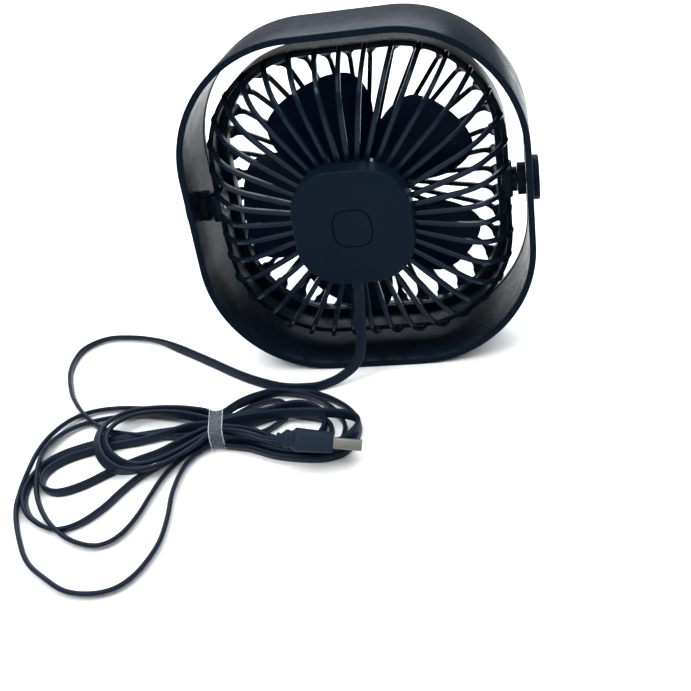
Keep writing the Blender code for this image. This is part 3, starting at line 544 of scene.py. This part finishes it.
def make_stand():
    """The hoop, and on each side the cap outside it and the washer inside it.

    The pivots' left and right are as seen from the front, so their left is at -X.
    """
    half_wide = (BAND_HIGH.x - BAND_LOW.x) / 2
    half_high = (BAND_HIGH.z - BAND_LOW.z) / 2
    front, back = BAND_LOW.y, BAND_HIGH.y
    wall, thin = BAND_WALL, BAND_WALL - BAND_STEP
    slope = BAND_EDGE + BAND_STEP
    profile = [(0.0, front), (0.0, back), (wall, back), (wall, back - BAND_EDGE),
               (thin, back - slope), (thin, front + slope), (wall, front + BAND_EDGE),
               (wall, front)]
    profile = eased(profile, (0.0006, 0.0006, 0.0008, 0.0, 0.0, 0.0, 0.0, 0.0006))
    bm = bmesh.new()
    rounded_rings(bm, half_wide, half_high, BAND_CORNER, profile, 32, closed=True)
    piece("hoop_stand", bm, NAVY_BAND, "navy_plastic", "stand", "stand_band")

    for side, name in ((-1, "left"), (1, "right")):
        low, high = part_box(f"pivot_cap_{name}")
        centre = Vector((0.0, (low.y + high.y) / 2, (low.z + high.z) / 2))
        radius = (high.y - low.y) / 2
        inner, outer = (high.x, low.x) if side < 0 else (low.x, high.x)
        cap = eased([(0.0, inner), (radius, inner), (radius, outer), (0.0, outer)],
                    (0.0, 0.0002, 0.0009, 0.0), closed=False)
        bm = bmesh.new()
        turned_piece(bm, cap, 'X', centre)
        piece(f"cap_{name}", bm, NAVY_BAND, "navy_plastic", "stand", f"pivot_cap_{name}")

        low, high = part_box(f"pivot_washer_{name}")
        radius = (high.y - low.y) / 2
        start, end = low.x, high.x
        if side < 0:
            start -= WASHER_REACH
        else:
            end += WASHER_REACH
        washer = eased([(WASHER_BORE, start), (radius, start), (radius, end), (WASHER_BORE, end)],
                       (0.0, 0.0006, 0.0006, 0.0))
        bm = bmesh.new()
        turned_piece(bm, washer, 'X', centre)
        piece(f"washer_{name}", bm, RUBBER, "rubber", "stand", f"pivot_washer_{name}")


# ---------------------------------------------------------------- grilles
HEAD_WIDE = 0.0646                # half the width and half the height of the head
HEAD_HIGH = 0.0663
HEAD_CORNER = 0.0460
RIBS = 40
RING_FRONT = -0.0120
RING_BACK = 0.0030
RING_WALL = 0.0022
LIP = 0.0055                      # how far the rim turns inwards at its front
LIP_THICK = 0.0020
SEAM = 0.0003                     # between the rear and the front shell
FRONT_DEPTH = 0.0032              # of the front shell's rim
# (inset from the outline, y, how much wider than the plain rib)
REAR_RIB = ((0.0009, 0.0004, 0.0002), (0.0008, 0.0032, 0.0002), (0.0020, 0.0074, 0.0),
            (0.0040, 0.0112, 0.0), (0.0072, 0.0160, 0.0), (0.0114, 0.0203, 0.0),
            (0.0170, 0.0228, 0.0001), (0.0260, 0.0237, 0.0003))
FRONT_RIB = ((0.0040, -0.0136, 0.0060), (0.0058, -0.0168, 0.0038), (0.0075, -0.0186, 0.0012),
             (0.0095, -0.0200, 0.0), (0.0150, -0.0216, 0.0))
REAR_ROOT = (0.0225, 0.0237)      # (distance from the axis, y) where the ribs end
FRONT_ROOT = (0.0165, -0.0222)
RIB_WIDTH = 0.0020
RIB_DEPTH = 0.0023
RIB_SOFT = 0.00045                # how far the soft edges of a rib's section are cut back
RIB_SPACING = 0.0016              # between the sections along a rib
NECK_START = 0.0625               # distance out along the tilt axis
NECK_RADIUS = 0.00525
NECK_GAP = 0.00005                # between a neck and its washer
LUG = ((-0.0078, -0.0062), (0.0062, -0.0062), (0.0062, 0.0062), (-0.0078, 0.0062))     # (y, z)
LUG_CORNER = 0.0014
LUG_LEVELS = ((0.0612, 1.0), (0.0650, 1.0), (0.0657, 0.93))      # (distance out, size)
# the plate behind the cover, with its profile as (inset, y)
SEAT_HALF = 0.0246
SEAT_CORNER = 0.0182
SEAT = ((0.0006, 0.0206), (0.0, 0.0210), (0.0, 0.0246), (0.0004, 0.0250))
# the collar round the motor, as (radius, y)
COLLAR = ((0.0123, 0.0150), (0.0143, 0.0150), (0.0143, 0.0212), (0.0123, 0.0212))
FRONT_HUB_RADIUS = 0.0175
FRONT_HUB_BACK = -0.0206
FRONT_HUB_FACE = -0.0240


def reach(angle, inset):
    """Distance from the head's axis to its outline, moved inwards by inset."""
    across, up = max(abs(math.cos(angle)), 1e-9), max(abs(math.sin(angle)), 1e-9)
    flat_wide, flat_high = HEAD_WIDE - HEAD_CORNER, HEAD_HIGH - HEAD_CORNER
    to_side, to_top = (HEAD_WIDE - inset) / across, (HEAD_HIGH - inset) / up
    if to_side * up <= flat_high:
        return to_side
    if to_top * across <= flat_wide:
        return to_top
    # onto the round corner, a circle about the end of both flats
    corner = HEAD_CORNER - inset
    along = flat_wide * across + flat_high * up
    return along + math.sqrt(along ** 2 - (flat_wide ** 2 + flat_high ** 2 - corner ** 2))


def outward(angle):
    """Unit direction at an angle that is counter-clockwise from -X, seen from behind."""
    return Vector((-math.cos(angle), 0.0, math.sin(angle)))


def rib(bm, angle, stations, facing):
    """A bar with soft edges through (distance, y, extra width) stations at one angle.

    facing is +1 where its crowned side looks backwards (+Y) and -1 where it looks forwards.
    """
    out, side = outward(angle), Vector((math.sin(angle), 0.0, math.cos(angle)))
    centre = Vector((0.0, 0.0, MIDDLE))
    knots = [centre + out * distance + Vector((0.0, y, 0.0)) for distance, y, _ in stations]
    line = smooth_points(knots, RIB_SPACING)
    rows = []
    for i, point in enumerate(line):
        along = (line[min(i + 1, len(line) - 1)] - line[max(i - 1, 0)]).normalized()
        through = along.cross(side).normalized()
        nearest = min(range(len(knots)), key=lambda k: (knots[k] - point).length)
        other = nearest + 1 if nearest == 0 else nearest - 1
        span = (knots[other] - knots[nearest]).length
        share = min((knots[nearest] - point).length / span, 1.0) if nearest or i else 0.0
        towards = 1.0 if (knots[other] - point).length < span else 0.0
        extra = stations[nearest][2] + (stations[other][2] - stations[nearest][2]) * share * towards
        wide, deep = (RIB_WIDTH + extra) / 2, RIB_DEPTH / 2
        section = ((-wide, -deep + RIB_SOFT), (-wide, deep - RIB_SOFT), (-wide + RIB_SOFT, deep),
                   (wide - RIB_SOFT, deep), (wide, deep - RIB_SOFT), (wide, -deep + RIB_SOFT),
                   (wide - RIB_SOFT, -deep), (-wide + RIB_SOFT, -deep))
        rows.append([point + side * a + through * (b * facing) for a, b in section])
    skin(bm, rows)


def ribs(bm, stations, root, facing):
    """All the ribs of one grille, each running in to root, as (distance from the axis, y)."""
    for count in range(RIBS):
        angle = 2 * math.pi * count / RIBS
        path = [(reach(angle, inset), y, extra) for inset, y, extra in stations]
        path.append((root[0], root[1], 0.0))
        rib(bm, angle, path, facing)


def pivots(bm):
    """The two lugs on the rim and the round necks that the head turns on."""
    for side, name in ((-1, "left"), (1, "right")):
        low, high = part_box(f"pivot_washer_{name}")
        centre = Vector((0.0, (low.y + high.y) / 2, (low.z + high.z) / 2))
        near = low.x if side > 0 else high.x
        start, end = side * NECK_START, near - side * NECK_GAP
        neck = eased([(0.0, start), (NECK_RADIUS, start), (NECK_RADIUS, end), (0.0, end)],
                     (0.0, 0.0, 0.0004, 0.0), closed=False)
        turned_piece(bm, neck, 'X', centre, 48)
        rows = []
        for x, size in LUG_LEVELS:
            rows.append([Vector((side * x, centre.y + y * size, centre.z + z * size))
                         for y, z in eased(LUG, LUG_CORNER)])
        skin(bm, rows)


def make_grilles():
    """The rear rim with its pivots, the rear ribs with the motor's seat, and the front shell."""
    bm = bmesh.new()
    rim = [(0.0, RING_BACK), (0.0, RING_FRONT), (LIP, RING_FRONT), (LIP, RING_FRONT + LIP_THICK),
           (RING_WALL, RING_FRONT + LIP_THICK), (RING_WALL, RING_BACK)]
    rim = eased(rim, (0.0006, 0.0002, 0.0005, 0.0005, 0.0, 0.0005))
    rounded_rings(bm, HEAD_WIDE, HEAD_HIGH, HEAD_CORNER, rim, 28, closed=True)
    pivots(bm)
    # the rim's darker plastic is painted shade from the hoop, not a different colour
    piece("rear_rim", bm, NAVY_RIM_PAINTED_SHADE, "navy_plastic", "head", "rear_grille", sharp=32.0)

    bm = bmesh.new()
    ribs(bm, REAR_RIB, REAR_ROOT, 1)
    rounded_rings(bm, SEAT_HALF, SEAT_HALF, SEAT_CORNER, SEAT, 16)
    turned_piece(bm, COLLAR, 'Y', (0.0, 0.0, MIDDLE))
    piece("rear_shell", bm, NAVY_GRILLE, "navy_plastic", "head", "rear_grille", sharp=32.0)

    bm = bmesh.new()
    back = RING_FRONT - SEAM
    front = back - FRONT_DEPTH
    rim = [(0.0, back), (0.0, back - 0.0016), (0.0014, front), (LIP + 0.0004, front), (LIP, back)]
    rim = eased(rim, (0.0002, 0.0006, 0.0006, 0.0006, 0.0))
    rounded_rings(bm, HEAD_WIDE, HEAD_HIGH, HEAD_CORNER, rim, 28, closed=True)
    ribs(bm, FRONT_RIB, FRONT_ROOT, -1)
    hub = eased([(0.0, FRONT_HUB_BACK), (FRONT_HUB_RADIUS, FRONT_HUB_BACK),
                 (FRONT_HUB_RADIUS, FRONT_HUB_FACE), (0.0, FRONT_HUB_FACE)],
                (0.0, 0.0004, 0.0006, 0.0), closed=False)
    turned_piece(bm, hub, 'Y', (0.0, 0.0, MIDDLE), 72)
    piece("front_shell", bm, NAVY_GRILLE, "navy_plastic", "head", "front_grille", sharp=32.0)


# ---------------------------------------------------------------- impeller
BLADES = 5
BLADE_PHASE = math.radians(37.0)
BLADE_TIP = 0.0540
BLADE_MIDDLE = -0.0008            # y of a blade's own middle
BLADE_PITCH = (0.0104, 0.0221)    # rise in y for each radian across, at the root and the tip
BLADE_THICK = (0.0015, 0.0010)    # at the root and the tip
BLADE_EDGE = 0.00004              # half the thickness left at a blade's edges
CHORD_STEPS = 16
HUB_RADIUS = 0.0155
HUB_WALL = 0.0018
HUB_FRONT = -0.0095
HUB_BACK = 0.0100
# (radius, angle of the trailing end, angle of the leading end), degrees from the blade's middle
BLADE_OUTLINE = ((0.0146, -30.0, 28.0), (0.0200, -32.0, 30.0), (0.0280, -33.5, 33.0),
                 (0.0350, -33.0, 33.5), (0.0415, -30.0, 31.0), (0.0472, -26.0, 27.5),
                 (0.0510, -22.0, 24.0), (0.0530, -17.5, 20.5), (BLADE_TIP, -10.0, 14.0))
BLADE_ROOT = BLADE_OUTLINE[0][0]


def from_root_to_tip(values, share):
    """The value at a share of the way out along a blade, from a (root, tip) pair."""
    return values[0] + (values[1] - values[0]) * share


def make_impeller():
    """A cup-shaped hub with swept and pitched blades round it."""
    bm = bmesh.new()
    inside = HUB_RADIUS - HUB_WALL
    cup = eased([(0.0, HUB_FRONT), (HUB_RADIUS, HUB_FRONT), (HUB_RADIUS, HUB_BACK),
                 (inside, HUB_BACK), (inside, HUB_FRONT + HUB_WALL), (0.0, HUB_FRONT + HUB_WALL)],
                (0.0, 0.0022, 0.0005, 0.0005, 0.0, 0.0), closed=False)
    turned_piece(bm, cup, 'Y', (0.0, 0.0, MIDDLE), 72)
    # about a degree apart, since the outline's angles change far more than its radii do
    outline = smooth_points(BLADE_OUTLINE, 1.0)
    for count in range(BLADES):
        middle = BLADE_PHASE + 2 * math.pi * count / BLADES
        rows = []
        for radius, low, high in outline:
            share = (radius - BLADE_ROOT) / (BLADE_TIP - BLADE_ROOT)
            pitch = from_root_to_tip(BLADE_PITCH, share)
            back_face, front_face = [], []
            for step in range(CHORD_STEPS + 1):
                across = step / CHORD_STEPS
                turn = math.radians(low + (high - low) * across)
                edge = math.sqrt(max(1.0 - (2.0 * across - 1.0) ** 6, 0.0))
                thick = from_root_to_tip(BLADE_THICK, share) * edge / 2 + BLADE_EDGE
                point = outward(middle + turn) * radius
                point += Vector((0.0, BLADE_MIDDLE + pitch * turn, MIDDLE))
                back_face.append(point + Vector((0.0, thick, 0.0)))
                front_face.append(point - Vector((0.0, thick, 0.0)))
            rows.append(back_face + front_face[::-1])
        skin(bm, rows)
    piece("blades", bm, NAVY_BLADE, "blade_plastic", "rotor", "impeller", sharp=50.0)


# ---------------------------------------------------------------- motor cover and button
COVER_CORNER = 0.0187
COVER_WALL = 0.0016
COVER_FACE = 0.0018               # thickness of its back face
BUTTON_HALF = 0.0079
BUTTON_SKIRT = 0.0091             # half the width of the flange that keeps the button in
BUTTON_GAP = 0.0003
BUTTON_ROUND = 0.71               # its corner radius, as a share of half its width
OPENING_CORNER = 0.0059
BY_THE_OPENING = 0.006            # rings set in further than this belong to the opening
DISH = 0.00012                    # how far the middle of the button is dished


def make_cover():
    """The motor cover, open where the button sits, and the button."""
    low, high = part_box("motor_cover")
    half = (high.x - low.x) / 2
    front, back = low.y, high.y
    opening = half - BUTTON_HALF - BUTTON_GAP        # how far in from the outside it is
    profile = [(0.0, front), (0.0, back), (opening, back), (opening, back - COVER_FACE),
               (COVER_WALL, back - COVER_FACE), (COVER_WALL, front)]
    profile = eased(profile, (0.0002, 0.0013, 0.00035, 0.0, 0.0, 0.0))
    rows = []
    for inset, y in profile:
        # near the outside the corner keeps its centre; towards the opening it tends to its own
        radius = COVER_CORNER - inset
        if inset >= BY_THE_OPENING:
            radius = COVER_CORNER + (OPENING_CORNER - COVER_CORNER) * min(inset / opening, 1.0)
        rows.append(rounded_square(half - inset, half - inset, radius, y, 24))
    bm = bmesh.new()
    skin(bm, rows, closed=True)
    piece("rear_cover", bm, NAVY, "navy_plastic", "head", "motor_cover")

    low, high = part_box("power_button")
    flange, top = back - 0.0021, high.y
    levels = eased([(0.0, low.y), (BUTTON_SKIRT, low.y), (BUTTON_SKIRT, flange),
                    (BUTTON_HALF, flange), (BUTTON_HALF, top), (0.0, top)],
                   (0.0, 0.0, 0.0, 0.0, 0.00045, 0.0), closed=False)
    rows = [rounded_square(r, r, r * BUTTON_ROUND, y, 16) for r, y in levels if r > 0.0]
    # the face is dished very slightly towards its middle
    for share in (0.8, 0.6, 0.4, 0.2):
        r = (BUTTON_HALF - 0.0005) * share
        rows.append(rounded_square(r, r, r * BUTTON_ROUND, top - DISH * (1.0 - share * share), 16))
    bm = bmesh.new()
    skin(bm, rows)
    piece("push_button", bm, NAVY, "navy_plastic", "button", "power_button")


# ---------------------------------------------------------------- strain relief, tie and plug
def flat_loop(wide, thick, corner, steps=5):
    """Outline of a rounded rectangle, as (across, through)."""
    points = []
    for quarter, (side_a, side_b) in enumerate(((1, 1), (-1, 1), (-1, -1), (1, -1))):
        for step in range(steps + 1):
            angle = math.pi / 2 * (quarter + step / steps)
            points.append((side_a * (wide / 2 - corner) + corner * math.cos(angle),
                           side_b * (thick / 2 - corner) + corner * math.sin(angle)))
    return points


def make_strain_relief():
    """A short flattened sleeve under the cover, with two soft rings."""
    low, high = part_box("strain_relief")
    x, y = (low.x + high.x) / 2, (low.y + high.y) / 2
    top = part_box("motor_cover")[0].z
    # (height, width, thickness)
    levels = ((low.z, 0.0047, 0.0027), (low.z + 0.0002, 0.0051, 0.0031),
              (low.z + 0.0010, 0.0052, 0.0032), (low.z + 0.0013, 0.0050, 0.0029),
              (low.z + 0.0019, 0.0050, 0.0029), (low.z + 0.0022, 0.0053, 0.0034),
              (low.z + 0.0030, 0.0053, 0.0034), (low.z + 0.0033, 0.0051, 0.0031),
              (top - 0.0006, 0.0052, 0.0034), (top + 0.0008, 0.0054, 0.0038))
    bm = bmesh.new()
    skin(bm, [[Vector((x + a, y + b, z)) for a, b in flat_loop(wide, thick, thick / 2 - 0.0002)]
              for z, wide, thick in levels])
    return [piece("lead_sleeve", bm, CORD, "cord_jacket", "head", "strain_relief", sharp=50.0)]


TIE_WIDTH = 0.0056
TIE_TURN = math.radians(12.0)
TIE_SHIFT = -0.0018               # from the CAD tie's middle, along X
TIE_REACH = 0.0060                # about half the tie's own size, from its middle to the film
TIE_SLACK = 0.0012                # how much wider than the CAD tie it is
TIE_CORNER = 0.0030
TIE_STEPS = 22
FILM_THICK = 0.00012
CREASE = 0.00012
CURL = 0.00025
# heights that the film's outside, its inside and its edges don't go below
OUTSIDE_ABOVE, INSIDE_ABOVE, EDGE_ABOVE = 0.0001, 0.0002, 0.00008
# section of the film's edge, as (out from the hank, along it)
HEM = ((0.00005, 0.00012), (0.00005, -0.00012), (-0.0002, -0.00012), (-0.0002, 0.00012))


def make_tie():
    """A strip of thin clear film round the hank's waist, creased, with its edges curled."""
    low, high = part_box("cord_tie")
    middle, half = (low + high) / 2, (high - low) / 2
    middle.x += TIE_SHIFT
    turn_round = Matrix.Rotation(TIE_TURN, 4, 'Z')
    outline = flat_loop(2 * half.y + TIE_SLACK, 2 * half.z, TIE_CORNER, 9)

    def film_point(x, a, b, size, lowest):
        point = turn_round @ Vector((x, a * size, b * size)) + middle
        return Vector((point.x, point.y, max(point.z, lowest)))

    outer, inner = [], []
    for column in range(TIE_STEPS + 1):
        share = column / TIE_STEPS
        x = (share - 0.5) * TIE_WIDTH
        row, back_row = [], []
        for step, (a, b) in enumerate(outline):
            turn = 2 * math.pi * step / len(outline)
            crease = (math.sin(5 * turn + 7.0 * share) + 0.7 * math.sin(11 * turn - 9.0 * share)
                      + 0.5 * math.sin(23 * share + 3 * turn)) * CREASE
            curl = CURL * (abs(2 * share - 1.0) ** 6)
            size = 1.0 + (crease + curl) / TIE_REACH
            row.append(film_point(x, a, b, size, OUTSIDE_ABOVE))
            back_row.append(film_point(x, a, b, size - FILM_THICK / TIE_REACH, INSIDE_ABOVE))
        outer.append(row)
        inner.append(back_row)
    bm = bmesh.new()
    skin(bm, outer + inner[::-1], closed=True)
    tie = piece("tie_film", bm, FILM, "clear_film", "stand", "cord_tie", sharp=25.0)

    # the curled edges, in the whiter film: a painted highlight along the folds
    bm = bmesh.new()
    for row in (outer[0], outer[-1]):
        rows = []
        for point in row:
            out = Vector((0.0, point.y - middle.y, point.z - middle.z)).normalized()
            section = [point + out * a + Vector((b, 0.0, 0.0)) for a, b in HEM]
            for corner in section:
                corner.z = max(corner.z, EDGE_ABOVE)
            rows.append(section)
        skin(bm, rows, closed=True)
    hem = piece("tie_edges", bm, FILM_EDGE_HIGHLIGHT, "clear_film", "stand", "cord_tie", sharp=60.0)
    return [tie, hem]


PLUG_START = Vector((0.0246, 0.0955, 0.0146))
PLUG_POINTS = Vector((-0.973, -0.080, -0.216))   # the way the plug points, along its length
PLUG_ROLL = math.radians(-36.0)
GRIP_LENGTH = 0.0155
SHELL_LENGTH = 0.0112
SHELL_WIDTH = 0.0120
SHELL_THICK = 0.0045
SHELL_CORNER = 0.0009
SHELL_WALL = 0.0003
SHELL_TUCK = 0.0003               # how far it starts inside the grip
MOUTH_EASE = 0.0003
# (distance along the plug, width, thickness, corner radius)
GRIP_SHAPE = (
    (-0.0070, 0.0052, 0.0036, 0.0014), (-0.0068, 0.0058, 0.0043, 0.0016),
    (-0.0060, 0.0060, 0.0045, 0.0017), (-0.0057, 0.0055, 0.0039, 0.0015),
    (-0.0049, 0.0058, 0.0042, 0.0016), (-0.0046, 0.0069, 0.0054, 0.0019),
    (-0.0040, 0.0072, 0.0057, 0.0020), (-0.0037, 0.0088, 0.0068, 0.0023),
    (-0.0034, 0.0094, 0.0073, 0.0024), (-0.0022, 0.0095, 0.0074, 0.0024),
    (-0.0019, 0.0091, 0.0069, 0.0023), (-0.0010, 0.0092, 0.0070, 0.0023),
    (-0.0006, 0.0098, 0.0075, 0.0025), (-0.0001, 0.0108, 0.0080, 0.0026),
    (0.0002, 0.0126, 0.0088, 0.0027), (0.0006, 0.0133, 0.0093, 0.0028),
    (0.0013, 0.0136, 0.0095, 0.0028), (0.0060, 0.0136, 0.0091, 0.0027),
    (0.0110, 0.0135, 0.0086, 0.0026), (0.0146, 0.0134, 0.0082, 0.0024),
    (0.0151, 0.0131, 0.0079, 0.0022), (0.0154, 0.0126, 0.0074, 0.0020),
    (0.0155, 0.0120, 0.0068, 0.0018))


def plug_place():
    """Where the plug lies: the back of its grip, the way it points and how it is rolled."""
    points_along = PLUG_POINTS.to_track_quat('X', 'Z').to_matrix().to_4x4()
    return Matrix.Translation(PLUG_START) @ points_along @ Matrix.Rotation(PLUG_ROLL, 4, 'X')


def make_plug():
    """The plug, its length along its own X and its width along its own Y."""
    place = plug_place()
    bm = bmesh.new()
    skin(bm, [[place @ Vector((x, a, b)) for a, b in flat_loop(wide, thick, corner, 7)]
              for x, wide, thick, corner in GRIP_SHAPE])
    grip = piece("plug_grip", bm, GRIP, "navy_plastic", "stand", "usb_plug_grip", sharp=38.0)

    # the folded sheet shell: round long edges, a mouth at its end and a wall's thickness
    start, end = GRIP_LENGTH - SHELL_TUCK, GRIP_LENGTH + SHELL_LENGTH
    levels = ((start, 0.0), (end - MOUTH_EASE, 0.0), (end, 0.0001), (end, SHELL_WALL),
              (start, SHELL_WALL))
    bm = bmesh.new()
    skin(bm, [[place @ Vector((x, a, b))
               for a, b in flat_loop(SHELL_WIDTH - 2 * inset, SHELL_THICK - 2 * inset,
                                     SHELL_CORNER - inset, 5)]
              for x, inset in levels], closed=True)
    shell = piece("plug_shell", bm, PLUG_STEEL, "plug_steel", "stand", "usb_plug_shell", sharp=40.0)
    return [grip, shell, "usb_plug_tongue"]


# ---------------------------------------------------------------- floor and light
FLOOR_HALF = 1.1
ROOM_LIGHT = 0.33
# (name, where, (width, height), watts, colour)
LIGHTS = (
    ("window", (0.3, -1.1, 1.0), (1.6, 1.0), 22.0, (0.86, 0.93, 1.0)),
    ("lamp", (0.6, 0.9, 1.1), (0.45, 0.45), 7.0, (1.0, 0.99, 0.97)),
    ("ceiling", (-0.2, 0.2, 1.5), (2.8, 2.8), 82.0, (0.95, 0.98, 1.0)),
)


def make_floor():
    """The pale surface that everything stands on."""
    bm = bmesh.new()
    bmesh.ops.create_grid(bm, x_segments=1, y_segments=1, size=FLOOR_HALF)
    mesh = bpy.data.meshes.new("floor")
    bm.to_mesh(mesh)
    bm.free()
    floor = bpy.data.objects.new("floor", mesh)
    floor.location.z = -TABLE_GAP
    bpy.context.scene.collection.objects.link(floor)
    look = Look("pale_floor", (0.86, 0.86, 0.85), 0.75)
    look.tint(look.noise(3.0, 2.0), (0.85, 0.85, 0.84), (0.88, 0.88, 0.87))
    floor.data.materials.append(look.material)


def area_light(name, at, size, watts, colour):
    """A rectangular light that points at the middle of the fan."""
    light = bpy.data.lights.new(name, 'AREA')
    light.shape = 'RECTANGLE'
    light.size, light.size_y = size
    light.energy = watts
    light.color = colour
    made = bpy.data.objects.new(name, light)
    made.location = at
    made.rotation_mode = 'QUATERNION'
    towards = Vector((0.0, 0.0, MIDDLE)) - Vector(at)
    made.rotation_quaternion = towards.to_track_quat('-Z', 'Y')
    bpy.context.scene.collection.objects.link(made)


def make_light():
    """The plain colour transform, the white room and the lights."""
    scene = bpy.context.scene
    scene.view_settings.view_transform = 'Standard'
    scene.view_settings.look = 'None'
    world = bpy.data.worlds.new("studio")
    world.use_nodes = True
    tree = world.node_tree
    dim = tree.nodes["Background"]
    dim.inputs["Color"].default_value = (1.0, 1.0, 1.0, 1.0)
    dim.inputs["Strength"].default_value = ROOM_LIGHT
    # straight behind everything the room is plain white, but it lights the fan more dimly
    white = tree.nodes.new("ShaderNodeBackground")
    white.inputs["Color"].default_value = (1.0, 1.0, 1.0, 1.0)
    path = tree.nodes.new("ShaderNodeLightPath")
    choice = tree.nodes.new("ShaderNodeMixShader")
    tree.links.new(path.outputs["Is Camera Ray"], choice.inputs["Fac"])
    tree.links.new(dim.outputs["Background"], choice.inputs[1])
    tree.links.new(white.outputs["Background"], choice.inputs[2])
    tree.links.new(choice.outputs["Shader"], tree.nodes["World Output"].inputs["Surface"])
    scene.world = world
    for light in LIGHTS:
        area_light(*light)


make_camera()
make_lead(make_strain_relief() + make_tie() + make_plug())
dress_nodes()
make_stand()
make_grilles()
make_impeller()
make_cover()
make_floor()
make_light()

bpy.context.view_layer.update()
